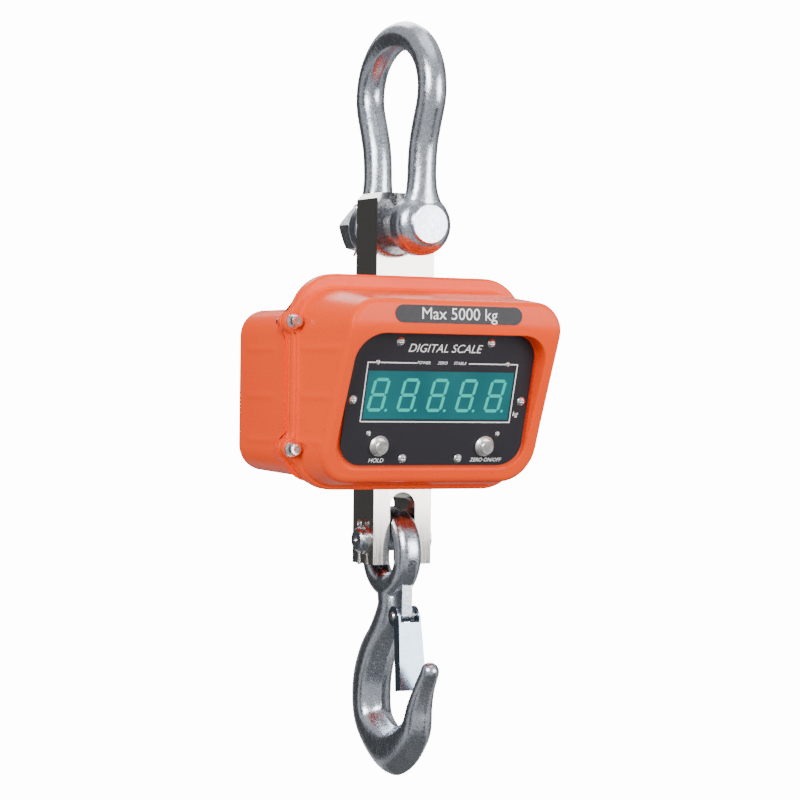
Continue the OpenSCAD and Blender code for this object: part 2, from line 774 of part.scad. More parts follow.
module battery_lead() {
    color("firebrick") translate([18, 46.8, 46 - case_drop]) {
        along_y() cylinder(d = 2.4, h = 3);
        translate([0, 3, 0]) sphere(d = 2.4);
        translate([0, 3, 0]) along_x() cylinder(d = 2.4, h = 52);
    }
}

module charge_socket() {
    color(steel) translate([side_wall_x, socket_y, socket_z]) difference() {
        union() {
            translate([-16, 0, 0]) along_x() cylinder(r = 8 - fit, h = 17);
            translate([0.8, 0, 0]) along_x() cylinder(r = 10.5, h = 1.6);
            // Hinge lugs of the cap
            for (s = [-1, 1]) translate([0.8, s * 6.5 - 1.5, 8.6]) cube([4.2, 3, 6]);
        }
        translate([-10, 0, 0]) along_x() cylinder(r = 5.5, h = 20);
        translate([cap_hinge_x, 0, cap_hinge_z]) rotate([90, 0, 0])
            cylinder(r = 1.05, h = 30, center = true);
    }
}

module charge_socket_nut() {
    color(steel) translate([side_wall_x - 9, socket_y, socket_z]) along_x() ring(10.5, 8, 3);
}

module charge_cap() {
    color(rubber) translate([side_wall_x, socket_y, socket_z]) {
        translate([2.7, 0, 0]) along_x() cylinder(r = 9.3, h = 2);
        translate([2.7, -4.6, 6]) cube([2, 9.2, cap_hinge_z - 6]);
        translate([cap_hinge_x, 0, cap_hinge_z]) rotate([90, 0, 0]) {
            cylinder(r = 1.5, h = 9.2, center = true);
            cylinder(r = 1, h = 16, center = true);
        }
    }
}

// ---- hook ----

module load_hook() {
    rows = [for (r = hook_path) [r[0], r[1] - case_drop, r[2], r[3], r[4]]];
    tip = rows[len(rows) - 1];
    color(zinc) difference() {
        union() {
            swept_bar(fine_rows(rows, hook_steps), hook_sides);
            translate([0, tip[0], tip[1]]) sphere(tip_r);
            // Eye
            translate([0, 0, eye_z]) along_x() rotate_extrude()
                round_rect(eye_hole_r, -eye_t / 2, eye_r, eye_t / 2, 7);
            // Upright rib that carries the latch
            translate([-rib_w, latch_pivot[0], latch_pivot[1]]) {
                along_x() cylinder(r = rib_r, h = 2 * rib_w);
                translate([0, -rib_r, 0]) cube([2 * rib_w, rib_r + 16, 27]);
            }
        }
        translate([0, 0, eye_z]) along_x() cylinder(r = eye_hole_r, h = 60, center = true);
        translate([-20, latch_pivot[0], latch_pivot[1]]) along_x()
            cylinder(d = latch_pin_d + 2 * fit, h = 40);
    }
}

module latch_pin() {
    out = latch_in + latch_t + side_gap;
    color(zinc) translate([0, latch_pivot[0], latch_pivot[1]]) along_x() {
        cylinder(d = latch_pin_d, h = 2 * out, center = true);
        for (s = [0, 1]) mirror([0, 0, s]) translate([0, 0, out]) cylinder(d1 = 7.5, d2 = 5, h = 1.4);
    }
}

// Moves to the latch's own frame: its pivot on the X axis, its plate hanging down
module at_latch() {
    translate([0, latch_pivot[0], latch_pivot[1]]) rotate([latch_tilt, 0, 0]) children();
}

module hook_latch() {
    spread = atan((latch_out - latch_in) / (latch_low - 6));
    color("gainsboro") at_latch() difference() {
        union() {
            // Face, wider at its lower end
            translate([0, -latch_face, 0]) rotate([90, 0, 0]) linear_extrude(latch_t) polygon([
                [-latch_in - latch_t, -6], [latch_in + latch_t, -6],
                [latch_out + latch_t, -latch_low], [-latch_out - latch_t, -latch_low]]);
            for (s = [0, 1]) mirror([s, 0, 0]) {
                translate([latch_in, 0, 0]) along_x() cylinder(r = latch_ear_r, h = latch_t);
                // Side flange, leaning out with the face
                translate([latch_in, -latch_face, -6]) rotate([0, -spread, 0])
                    translate([0, 0, 6 - latch_low]) cube([latch_t, 8, latch_low - 6]);
                translate([latch_in, -latch_face - latch_t, -9]) cube([latch_t, 6, 9]);
            }
        }
        along_x() cylinder(d = latch_pin_d + 2 * run, h = 60, center = true);
        translate([-30, -30, -latch_low - 20]) cube([60, 60, 20]);
    }
}

// Coil of the torsion spring around the latch pin, beside the rib
function coil_point(i, sides) = let (a = 360 * i / sides) [1.15 * i / sides, 4.1 * cos(a), 4.1 * sin(a)];
module latch_spring() {
    sides = 16;
    turns = 2.5;
    wire = 0.5;
    n = turns * sides + 1;
    rows = [for (i = [0:n - 1]) coil_point(i, sides)];
    points = [for (i = [0:n - 1]) for (k = [0:5])
        let (a = 60 * k, c = 360 * i / sides)
        rows[i] + wire * [sin(a), cos(a) * cos(c), cos(a) * sin(c)]];
    faces = concat([for (i = [0:n - 2], k = [0:5])
        let (a = i * 6 + k, b = i * 6 + (k + 1) % 6) [a, b, b + 6, a + 6]],
        [[for (k = [5:-1:0]) k], [for (k = [0:5]) (n - 1) * 6 + k]]);
    color(steel) at_latch() translate([rib_w + wire + 0.15, 0, 0]) polyhedron(points, faces, convexity = 8);
}

shackle_bow();
shackle_pin();
shackle_nut();
shackle_split_pin();
pin_spacers();
load_cell();
strain_gauges();
gauge_covers();
cell_cable();
hook_pin();
hook_pin_washer();
hook_split_pin();
rear_housing();
front_housing();
housing_gasket();
housing_screws();
housing_lock_washers();
housing_washers();
top_grommet();
bottom_grommet();
cell_bracket();
bracket_screws();
front_panel();
panel_gasket();
panel_screws();
display_window();
capacity_plate();
display_board();
led_digits();
status_leds();
board_spacers();
board_screws();
recall_switch();
tare_switch();
switch_nuts();
recall_button();
tare_button();
main_board();
main_board_posts();
display_ribbon();
battery();
battery_strap();
battery_lead();
charge_socket();
charge_socket_nut();
charge_cap();
load_hook();
latch_pin();
hook_latch();
latch_spring();
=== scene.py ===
"""Looks of the hanging crane scale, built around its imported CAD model. Lengths here are in millimetres
and become metres in one place, where a mesh is made."""
import json
import math

import bmesh
import bpy
import numpy as np
from mathutils import Matrix, Vector


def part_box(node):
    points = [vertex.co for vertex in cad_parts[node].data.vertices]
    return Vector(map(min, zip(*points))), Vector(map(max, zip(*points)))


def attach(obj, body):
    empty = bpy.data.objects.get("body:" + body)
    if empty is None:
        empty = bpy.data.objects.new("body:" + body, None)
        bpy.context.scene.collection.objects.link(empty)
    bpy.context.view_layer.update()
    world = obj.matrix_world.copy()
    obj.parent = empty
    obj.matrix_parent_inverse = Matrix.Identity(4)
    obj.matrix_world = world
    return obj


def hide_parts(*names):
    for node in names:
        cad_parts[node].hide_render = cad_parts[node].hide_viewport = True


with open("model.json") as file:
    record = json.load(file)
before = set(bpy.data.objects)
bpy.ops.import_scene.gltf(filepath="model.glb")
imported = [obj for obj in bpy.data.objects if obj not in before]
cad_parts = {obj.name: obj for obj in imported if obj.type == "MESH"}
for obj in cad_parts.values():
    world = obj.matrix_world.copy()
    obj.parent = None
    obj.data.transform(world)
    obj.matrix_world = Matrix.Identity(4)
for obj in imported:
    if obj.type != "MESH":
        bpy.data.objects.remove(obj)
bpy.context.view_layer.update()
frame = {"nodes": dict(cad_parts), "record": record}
nodes = frame["nodes"]
MM = 0.001


def box_mm(node):
    """Lowest and highest corner of a CAD node, in millimetres."""
    low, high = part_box(node)
    return np.array(low) / MM, np.array(high) / MM


# ---------------------------------------------------------------- sizes, from the frame

FLANGE_LO, FLANGE_HI = box_mm("housing_gasket")
FRONT_LO, FRONT_HI = box_mm("front_housing")
REAR_LO, REAR_HI = box_mm("rear_housing")
CELL_LO, CELL_HI = box_mm("load_cell")
DATUM = -283.6                      # height of the housing's datum line
FLANGE_W = FLANGE_HI[0] + 0.6
FLANGE_UP = FLANGE_HI[2] + 0.6 - DATUM
FLANGE_DOWN = DATUM - FLANGE_LO[2] + 0.6
FLANGE_R = 39.0
SEAM_FRONT = FLANGE_LO[1]
SEAM_BACK = FLANGE_HI[1]
FLANGE_FRONT = -31.0
FLANGE_BACK = -18.0
HOOD_FRONT = FRONT_LO[1]
REAR_BACK = REAR_HI[1]
WALL = 4.0
SCREW_X = 110.5
SCREW_Z = (DATUM + 51.2, DATUM - 53.9)
LUG_REACH = FRONT_HI[0] - FLANGE_W
RIB_Z = (DATUM + 29.0, DATUM - 10.5, DATUM - 47.5)
HOOD_BASE = dict(half=105.5, up=79.2, down=84.4, r=33.0)
INSIDE = {key: size - WALL for key, size in HOOD_BASE.items()}
HOOD_EDGE = dict(half=101.0, half_top=97.5, low=DATUM - 80.2, high=DATUM + 69.4, r_top=23.0, r_low=28.0)
POCKET_HALF, POCKET_DEEP = 8.4, 7.6     # hollow in the hood's side that each housing screw stands in
CREASE_Z = DATUM + 46.3
RIM_LEAN = math.tan(math.radians(23.3))
PANEL_TILT = math.radians(15.0)
PANEL_ORIGIN = np.array([0.0, -79.65, DATUM - 12.0])
PANEL_U = np.array([1.0, 0.0, 0.0])
PANEL_V = np.array([0.0, -math.sin(PANEL_TILT), math.cos(PANEL_TILT)])
PANEL_N = np.array([0.0, -math.cos(PANEL_TILT), -math.sin(PANEL_TILT)])
PANEL_FLOOR = -2.3
WEB_BACK = PANEL_FLOOR - WALL
RECESS = dict(half=89.0, low=-60.0, high=59.5, r_top=25.0, r_low=22.0)
RECESS_FILLET = 1.5
WEB_EDGE = dict(half=92.0, low=-57.0, high=60.0, r_top=22.0, r_low=20.0)
WINDOW = dict(half=69.5, low=3.7 - 21.6, high=3.7 + 21.6, r_top=1.5, r_low=1.5)
BUTTONS = ((-49.7, -39.5), (49.7, -39.5))
BUTTON_HOLE = 8.0


def on_panel(u, v, n=0.0):
    """A point on the leaning display panel: u to the right, v upwards and n out of it."""
    return PANEL_ORIGIN + u * PANEL_U + v * PANEL_V + n * PANEL_N


# ---------------------------------------------------------------- mesh helpers

def new_object(name, verts, faces, smooth=True):
    """A mesh object from points in millimetres."""
    mesh = bpy.data.meshes.new(name)
    mesh.from_pydata([tuple(float(c) * MM for c in v) for v in verts], [], faces)
    mesh.validate()
    obj = bpy.data.objects.new(name, mesh)
    bpy.context.scene.collection.objects.link(obj)
    bm = bmesh.new()
    bm.from_mesh(mesh)
    bmesh.ops.remove_doubles(bm, verts=bm.verts, dist=1e-7)
    bmesh.ops.recalc_face_normals(bm, faces=bm.faces)
    bm.to_mesh(mesh)
    bm.free()
    if smooth:
        mesh.shade_smooth()
    return obj


def loft(name, loops, cap_first=False, cap_last=False, closed=False):
    """Skin between loops of the same number of points. closed joins the last loop to the first."""
    count = len(loops[0])
    verts = np.concatenate(loops)
    faces = []
    last = len(loops) if closed else len(loops) - 1
    for i in range(last):
        a = i * count
        b = ((i + 1) % len(loops)) * count
        for k in range(count):
            faces.append((a + k, a + (k + 1) % count, b + (k + 1) % count, b + k))
    if cap_first:
        faces.append(tuple(range(count)))
    if cap_last:
        faces.append(tuple(range((len(loops) - 1) * count, len(loops) * count)))
    return new_object(name, verts, faces)


def apply_modifiers(obj):
    """Turns the object's modifiers into its mesh."""
    depsgraph = bpy.context.evaluated_depsgraph_get()
    mesh = bpy.data.meshes.new_from_object(obj.evaluated_get(depsgraph))
    old = obj.data
    obj.modifiers.clear()
    obj.data = mesh
    bpy.data.meshes.remove(old)


def cut(obj, tools):
    """Takes the tool solids away from obj and deletes them."""
    for tool in tools:
        mod = obj.modifiers.new("cut", "BOOLEAN")
        mod.operation = "DIFFERENCE"
        mod.solver = "EXACT"
        mod.object = tool
    apply_modifiers(obj)
    for tool in tools:
        bpy.data.objects.remove(tool)


def sharpen(obj, degrees):
    """Smooth shading, with a hard edge where faces meet at more than an angle."""
    obj.data.shade_smooth()
    obj.data.set_sharp_from_angle(angle=math.radians(degrees))


def join(name, parts):
    """One object out of several."""
    bm = bmesh.new()
    for part in parts:
        bm.from_mesh(part.data)
    mesh = bpy.data.meshes.new(name)
    bm.to_mesh(mesh)
    bm.free()
    for part in parts:
        bpy.data.objects.remove(part)
    obj = bpy.data.objects.new(name, mesh)
    bpy.context.scene.collection.objects.link(obj)
    mesh.shade_smooth()
    return obj


def block(name, low, high):
    """A box between two corners."""
    corners = [(x, y, z) for x in (low[0], high[0]) for y in (low[1], high[1]) for z in (low[2], high[2])]
    faces = [(0, 1, 3, 2), (4, 6, 7, 5), (0, 4, 5, 1), (2, 3, 7, 6), (0, 2, 6, 4), (1, 5, 7, 3)]
    return new_object(name, corners, faces, smooth=False)


def rod(name, start, end, radius, sides=48):
    """A round rod between two points."""
    start, end = np.array(start, float), np.array(end, float)
    axis = (end - start) / np.linalg.norm(end - start)
    side = np.cross(axis, [0.0, 0.0, 1.0] if abs(axis[2]) < 0.9 else [1.0, 0.0, 0.0])
    side /= np.linalg.norm(side)
    other = np.cross(axis, side)
    angles = np.linspace(0, 2 * math.pi, sides, endpoint=False)
    circle = np.array([math.cos(a) * side + math.sin(a) * other for a in angles])
    return loft(name, [start + circle * radius, end + circle * radius], True, True)


def smoothstep(low, high, x):
    """0 at low and 1 at high, with a soft start and end."""
    t = np.clip((x - low) / (high - low), 0, 1)
    return t * t * (3 - 2 * t)


# ---------------------------------------------------------------- housing outlines

CORNER_STEPS = 14
SIDE_STEPS = 56
TOP_STEPS = 36


def rounded(half, half_top, low, high, r_top, r_low):
    """A rectangle with round corners, anticlockwise from the lower right. Its top may be narrower."""
    points = []

    def line(a, b, steps):
        for i in range(steps):
            points.append(a + (b - a) * i / steps)

    def arc(cx, cz, r, start):
        for i in range(CORNER_STEPS):
            a = math.radians(start + 90 * i / CORNER_STEPS)
            points.append(np.array([cx + r * math.cos(a), cz + r * math.sin(a)]))

    point = np.array
    line(point([half, low + r_low]), point([half, high - r_top]), SIDE_STEPS)
    arc(half - r_top, high - r_top, r_top, 0)
    line(point([half - r_top, high]), point([r_top - half, high]), TOP_STEPS)
    arc(r_top - half, high - r_top, r_top, 90)
    line(point([-half, high - r_top]), point([-half, low + r_low]), SIDE_STEPS)
    arc(r_low - half, low + r_low, r_low, 180)
    line(point([r_low - half, low]), point([half - r_low, low]), TOP_STEPS)
    arc(half - r_low, low + r_low, r_low, 270)
    points = np.array(points)
    taper = 1 + (half_top / half - 1) * (points[:, 1] - low) / (high - low)
    points[:, 0] *= taper
    return points


def case_loop(y, half, up, down, r):
    """A round-cornered loop about the datum line, in the plane Y = y."""
    flat = rounded(half, half, DATUM - down, DATUM + up, r, r)
    return np.column_stack([flat[:, 0], np.full(len(flat), y), flat[:, 1]])


def at_lugs(z):
    """1 in the middle of a screw lug and 0 away from it."""
    total = np.zeros_like(z)
    for centre in SCREW_Z:
        d = np.abs(z - centre)
        body = np.sqrt(np.clip(1 - (d / 8.6) ** 2, 0, 1))
        skirt = 0.22 * (1 - smoothstep(7.0, 14.0, d))
        total = np.maximum(total, np.maximum(body, skirt))
    return total


def at_ribs(z):
    """1 on the middle of a side rib and 0 away from it."""
    return sum(np.exp(-((z - centre) / 2.6) ** 2) for centre in RIB_Z)


def push_sides(loop, amount):
    """Moves the points of the left and right walls outwards by amount, one value for each point."""
    out = loop.copy()
    upright = smoothstep(0.86, 0.97, np.abs(loop[:, 0]) / np.abs(loop[:, 0]).max())
    out[:, 0] += np.sign(loop[:, 0]) * amount * upright
    return out


def flange_loop(y, inset):
    """A loop round the flange and its four screw lugs."""
    loop = case_loop(y, FLANGE_W - inset, FLANGE_UP - inset, FLANGE_DOWN - inset, FLANGE_R - inset)
    return push_sides(loop, LUG_REACH * at_lugs(loop[:, 2]))


def rim_y(z):
    """Y of the hood's front surface at a height: an upright brow above the leaning rim."""
    soft = 2.2
    t = (CREASE_Z - z) / soft
    return HOOD_FRONT + RIM_LEAN * soft * np.logaddexp(0, t)


def bezier(a, b, c, steps):
    """Loops on a curve from a to c that bends at b, without the end loops."""
    between = [i / steps for i in range(1, steps)]
    return [a * (1 - t) ** 2 + 2 * b * t * (1 - t) + c * t * t for t in between]


def toward(a, b, distance):
    """Points of loop a moved towards loop b by a distance in millimetres."""
    gap = b - a
    length = np.linalg.norm(gap, axis=1, keepdims=True)
    return a + gap * np.minimum(1, distance / np.maximum(length, 1e-6))


def panel_loop(n, half, low, high, r_top, r_low):
    """A round-cornered loop parallel to the panel, n in front of it."""
    flat = rounded(half, half, low, high, r_top, r_low)
    return np.array([on_panel(u, v, n) for u, v in flat])


def shrunk(outline, by):
    """The same round-cornered outline, smaller all round."""
    return {key: size + by if key == "low" else size - by for key, size in outline.items()}


def screw_pockets(loop):
    """How far each point of the hood's side moves in (below 0) beside the housing screws."""
    dent = np.zeros(len(loop))
    for centre in SCREW_Z:
        near = np.clip(1 - ((loop[:, 2] - centre) / POCKET_HALF) ** 2, 0, 1)
        floor = SCREW_X - POCKET_DEEP * np.sqrt(near)
        deep = np.where(near > 0, np.minimum(0, floor - np.abs(loop[:, 0])), 0)
        dent += deep * smoothstep(-50.0, -42.0, loop[:, 1])
    return dent


def hood_wall(t):
    """A loop of the hood's outer wall: t runs from 0 at the flange to 1 at the front edge."""
    base = case_loop(FLANGE_FRONT, **HOOD_BASE)
    edge = rounded(**HOOD_EDGE)
    front = np.column_stack([edge[:, 0], rim_y(edge[:, 1]), edge[:, 1]])
    loop = base + (front - base) * t
    ribs = 0.9 * at_ribs(loop[:, 2]) * smoothstep(0.02, 0.12, t) * (1 - smoothstep(0.80, 0.93, t))
    return push_sides(loop, ribs + screw_pockets(loop))


def rim_inner_loop():
    """Where the walls of the panel's recess meet the leaning rim."""
    loop = []
    for u, v in rounded(half_top=RECESS["half"], **RECESS):
        low, high = PANEL_FLOOR, 60.0
        for _ in range(40):
            n = (low + high) / 2
            p = on_panel(u, v, n)
            if p[1] > rim_y(p[2]):
                low = n
            else:
                high = n
        loop.append(on_panel(u, v, low))
    return np.array(loop)


def edge_round(loops, face, edge, steps):
    """Adds loops that round the flange's edge from its side onto its flat face."""
    out = 1 if face > 0.5 * (SEAM_FRONT + SEAM_BACK) else -1
    for i in range(steps + 1):
        a = math.radians(90 * i / steps)
        loops.append(flange_loop(face - out * edge * (1 - math.sin(a)), edge * (1 - math.cos(a))))


def hood_outside():
    """Loops from the seam over the flange and along the hood to the start of its front edge."""
    loops = [flange_loop(SEAM_FRONT, 0.5), flange_loop(SEAM_FRONT - 0.5, 0.0)]
    edge_round(loops, FLANGE_FRONT, 2.4, 5)
    face, base, fillet = loops[-1], hood_wall(0.0), 3.2
    grown = toward(base, face, fillet)
    grown[:, 1] = FLANGE_FRONT
    risen = toward(base, hood_wall(1.0), fillet)
    loops += [face + (grown - face) * 0.5, grown]
    loops += bezier(grown, base, risen, 5)
    loops.append(risen)
    return loops + [hood_wall(t) for t in np.linspace(0.075, 0.90, 30)]


def hood_front():
    """Loops over the hood's round front edge and down its leaning rim, to the edge of the recess."""
    front, inner, edge, lip_edge = hood_wall(1.0), rim_inner_loop(), 5.0, 1.8
    back_off, on_rim = toward(front, hood_wall(0.5), edge), toward(front, inner, edge)
    on_rim[:, 1] = rim_y(on_rim[:, 2])
    loops = [back_off] + bezier(back_off, front, on_rim, 7) + [on_rim]
    lip = toward(inner, on_rim, lip_edge)
    for t in (0.2, 0.4, 0.6, 0.8):
        between = on_rim + (lip - on_rim) * t
        between[:, 1] = rim_y(between[:, 2])
        loops.append(between)
    below_lip = toward(inner, panel_loop(PANEL_FLOOR, **RECESS), lip_edge)
    return loops + [lip] + bezier(lip, inner, below_lip, 5) + [below_lip]


def recess(below_lip):
    """Loops down the recess's walls, over its floor and through the display window."""
    edge, inner = panel_loop(PANEL_FLOOR, **RECESS), rim_inner_loop()
    wall_height = np.abs((inner - edge) @ PANEL_N)
    above = edge + RECESS_FILLET * PANEL_N * np.minimum(1, wall_height / (2 * RECESS_FILLET))[:, None]
    on_floor = panel_loop(PANEL_FLOOR, **shrunk(RECESS, RECESS_FILLET))
    loops = [below_lip + (above - below_lip) * t for t in (0.33, 0.66)]
    loops += [above] + bezier(above, edge, on_floor, 4) + [on_floor]
    return loops + [panel_loop(PANEL_FLOOR, **WINDOW), panel_loop(WEB_BACK, **WINDOW)]


def make_front_housing():
    """The front casting: flange, hood, recess, web and inside, as one closed skin."""
    loops = hood_outside() + hood_front()
    loops += recess(loops[-1])
    loops.append(panel_loop(WEB_BACK, **WEB_EDGE))
    loops += [case_loop(FLANGE_FRONT, **INSIDE), case_loop(SEAM_FRONT, **INSIDE)]
    obj = loft("front_casting", loops, closed=True)
    cut(obj, [rod("tool", on_panel(u, v, -16), on_panel(u, v, 2), BUTTON_HOLE) for u, v in BUTTONS])
    sharpen(obj, 38)
    return obj


def rear_wall(t, inset=0.0):
    """A loop of the rear casting's outer wall: t runs from 0 at the flange to 1 at the back."""
    y = FLANGE_BACK + (REAR_BACK - FLANGE_BACK) * t
    loop = case_loop(y, 108.8 - 2.3 * t - inset, 62.7 - inset, 77.8 - 3.4 * t - inset, 22.0 - inset * 0.5)
    boss = LUG_REACH * (1 - smoothstep(-16.0, 8.0, y)) * at_lugs(loop[:, 2])
    ribs = 0.8 * at_ribs(loop[:, 2]) * smoothstep(2.0, 16.0, y) * (1 - smoothstep(58.0, 70.0, y))
    return push_sides(loop, boss + ribs) if inset <= 0 else loop


def rear_outside():
    """Loops from the seam over the flange and along the rear wall to the middle of the back."""
    loops = [flange_loop(SEAM_BACK, 0.5), flange_loop(SEAM_BACK + 0.5, 0.0)]
    edge_round(loops, FLANGE_BACK, 2.0, 3)
    base = rear_wall(0.0)
    grown = rear_wall(0.0, -3.0)
    grown[:, 0] = np.clip(grown[:, 0], REAR_LO[0], REAR_HI[0])
    risen = toward(base, rear_wall(1.0), 4.0)
    loops += [grown] + bezier(grown, base, risen, 4) + [risen]
    edge, depth = 9.0, REAR_BACK - FLANGE_BACK
    loops += [rear_wall(t) for t in np.linspace(0.06, 1 - edge / depth, 34)]
    for angle in (15, 30, 45, 60, 75, 90):
        a = math.radians(angle)
        t = 1 - edge * (1 - math.sin(a)) / depth
        loops.append(rear_wall(t, edge * (1 - math.cos(a)) + 1e-6))
    middle = np.array([0.0, REAR_BACK, DATUM - 8.0])
    return loops + [rear_wall(1.0, 30.0), rear_wall(1.0, 32.0) * 0.3 + middle * 0.7]


def make_rear_housing():
    """The rear casting, hollowed out and opened for the load cell at its top and bottom."""
    obj = loft("rear_casting", rear_outside(), True, True)
    room = [case_loop(SEAM_BACK - 2, **INSIDE), case_loop(FLANGE_BACK - 3.1, **INSIDE),
            case_loop(FLANGE_BACK - 3.0, 101.5, 58.7, 73.8, 18.0),
            case_loop(REAR_BACK - 12, 100.5, 58.7, 70.5, 18.0),
            case_loop(REAR_BACK - WALL, 94.0, 52.0, 64.0, 12.0)]
    inner = loft("rear_room", room, True, True)
    around = np.array([3.0, 3.0, 0.0])
    cut(obj, [inner, block("tool", CELL_LO - around, CELL_HI + around)])
    sharpen(obj, 38)
    return obj


# ---------------------------------------------------------------- forgings

def path_frames(rows):
    """Directions along a path of (y, z, ...) rows."""
    points = np.array([[r[0], r[1]] for r in rows])
    before = np.vstack([points[:1], points[:-1]])
    after = np.vstack([points[1:], points[-1:]])
    heading = after - before
    return heading / np.linalg.norm(heading, axis=1, keepdims=True)


def fine(rows, steps):
    """Catmull-Rom rows between the given ones."""
    rows = np.array(rows, float)
    padded = np.vstack([rows[:1], rows, rows[-1:]])
    out = []
    for i in range(len(rows) - 1):
        for k in range(steps):
            t = k / steps
            p0, p1, p2, p3 = padded[i:i + 4]
            out.append(0.5 * (2 * p1 + t * (p2 - p0) + t * t * (2 * p0 - 5 * p1 + 4 * p2 - p3)
                              + t ** 3 * (3 * p1 - p0 - 3 * p2 + p3)))
    out.append(rows[-1])
    return np.array(out)


def bar_loops(rows, sides, section):
    """Loops of a bar bent in the YZ plane. section(row, cos, sin) gives the two half sizes' factors."""
    heading = path_frames(rows)
    loops = []
    for row, (dy, dz) in zip(rows, heading):
        loop = []
        for k in range(sides):
            a = 2 * math.pi * k / sides
            depth, width = section(row, math.cos(a), math.sin(a))
            loop.append((width, row[0] - dz * depth, row[1] + dy * depth))
        loops.append(np.array(loop))
    return loops


BOW_SHIFT = (box_mm("shackle_bow")[0][1] + box_mm("shackle_bow")[1][1]) / 2
PIN_Z = sum(box_mm("shackle_pin")[i][2] for i in (0, 1)) / 2
BAR = 12.2
CROWN_W, CROWN_H = 55.5, 48.4
CROWN_Z = 12.0 - CROWN_H
PIN_HOLE = 14.05
# Rows of Y, height above the pin, half depth in the bow's plane and half width across it
BOW_LEG = [(41, -6, 11.0, 17.5), (41, 8, 11.2, 19), (40.6, 18, 11.6, 17.4), (39.7, 27.6, 12.0, 14.0),
           (39.4, 39.6, BAR, BAR + 0.2), (39.8, 52.6, BAR, BAR), (42, 68.6, BAR, BAR), (47.2, 84.2, BAR, BAR)]


def make_bow():
    """The shackle's bow: a forged bar with soft flats that spreads into two round ears."""
    leg = [(y, PIN_Z + z, depth, width) for y, z, depth, width in BOW_LEG]
    crown = [(CROWN_W * math.sin(math.radians(a)), CROWN_Z + CROWN_H * math.cos(math.radians(a)), BAR, BAR)
             for a in range(100, -101, -20)]
    knots = leg + crown + [(-y, z, depth, width) for y, z, depth, width in reversed(leg)]
    rows = fine(knots, 10)

    def section(row, c, s):
        flat = octagon(math.atan2(s, c), 9.0 + 8.0 * smoothstep(-20.0, 10.0, row[1]))
        return row[2] * flat * c, row[3] * flat * s

    parts = [loft("bow_bar", bar_loops(rows, 64, section), True, True), make_ear(1), make_ear(-1)]
    obj = join("bow_forging", parts)
    move(obj, (0, BOW_SHIFT, 0))
    remesh(obj, 0.8, 5)
    cut(obj, [rod("tool", (0, -80, PIN_Z), (0, 80, PIN_Z), PIN_HOLE, 64)])
    sharpen(obj, 50)
    return obj


def octagon(angle, power):
    """Radius factor of a round with eight soft flats; a lower power gives softer ones."""
    total = sum(abs(math.cos(angle - math.radians(22.5 + 45 * k))) ** power for k in range(4))
    return (total / octagon_mean(power)) ** (-1 / power)


def octagon_mean(power):
    """What keeps the octagon's mean radius near 1."""
    steps = 32
    angles = [math.radians(90 * i / steps - 22.5 - 45 * k) for i in range(steps) for k in range(4)]
    return sum(abs(math.cos(a)) ** power for a in angles) / steps


def move(obj, offset):
    """Shifts an object's mesh by a distance in millimetres."""
    obj.data.transform(Matrix.Translation(Vector(offset) * MM))


def make_ear(sign):
    """Round ear with a domed outer face."""
    radius, inner, outer, dome, lip = 25.8, 29.25, 52.75, 12.0, 2.5
    profile = [(0.01, outer)]
    for a in np.radians(range(0, 91, 9)):
        profile.append((radius - dome + dome * math.sin(a), outer - dome + dome * math.cos(a)))
    profile += [(radius, inner + lip + 6), (radius, inner + lip), (radius - 0.8, inner + 0.8)]
    profile += [(radius - lip, inner), (0.01, inner)]
    loops = []
    for r, y in profile:
        loops.append(np.array([(r * math.cos(a), sign * y, PIN_Z + r * math.sin(a))
                               for a in np.linspace(0, 2 * math.pi, 96, endpoint=False)]))
    return loft("ear", loops, True, True)


def remesh(obj, voxel, smooth_steps):
    """Fuses overlapping solids of one forging and rounds the corners where they meet."""
    mod = obj.modifiers.new("fuse", "REMESH")
    mod.mode = "VOXEL"
    mod.voxel_size = voxel * MM
    mod.adaptivity = 0.0
    smooth = obj.modifiers.new("soften", "SMOOTH")
    smooth.factor = 0.5
    smooth.iterations = smooth_steps
    apply_modifiers(obj)
    obj.data.shade_smooth()


# Rows of Y, height above the datum line, and the bar's inner half depth, outer half depth and half width
HOOK_ROWS = [
    (0, -160, 15, 15, 10.6), (-1, -176, 14.6, 15, 11), (-2, -190, 14, 15.5, 11.6), (9, -211, 15, 15.5, 13.4),
    (21, -231, 15, 20.5, 15.2), (30, -258, 15, 23, 16), (25, -287.5, 15, 21.5, 16), (-11, -305, 16, 26, 15.5),
    (-44, -290.5, 16, 15.5, 13), (-53, -268, 11.5, 11, 10.8), (-60.5, -252, 9, 9, 9),
    (-70.5, -237, 7.6, 7.6, 7.8)]
TIP_R = 7.8
EYE_HOLE, EYE_OUTER, EYE_HALF = 21.0, 39.0, 11.2
RIB_W, RIB_R = 4.8, 5.4


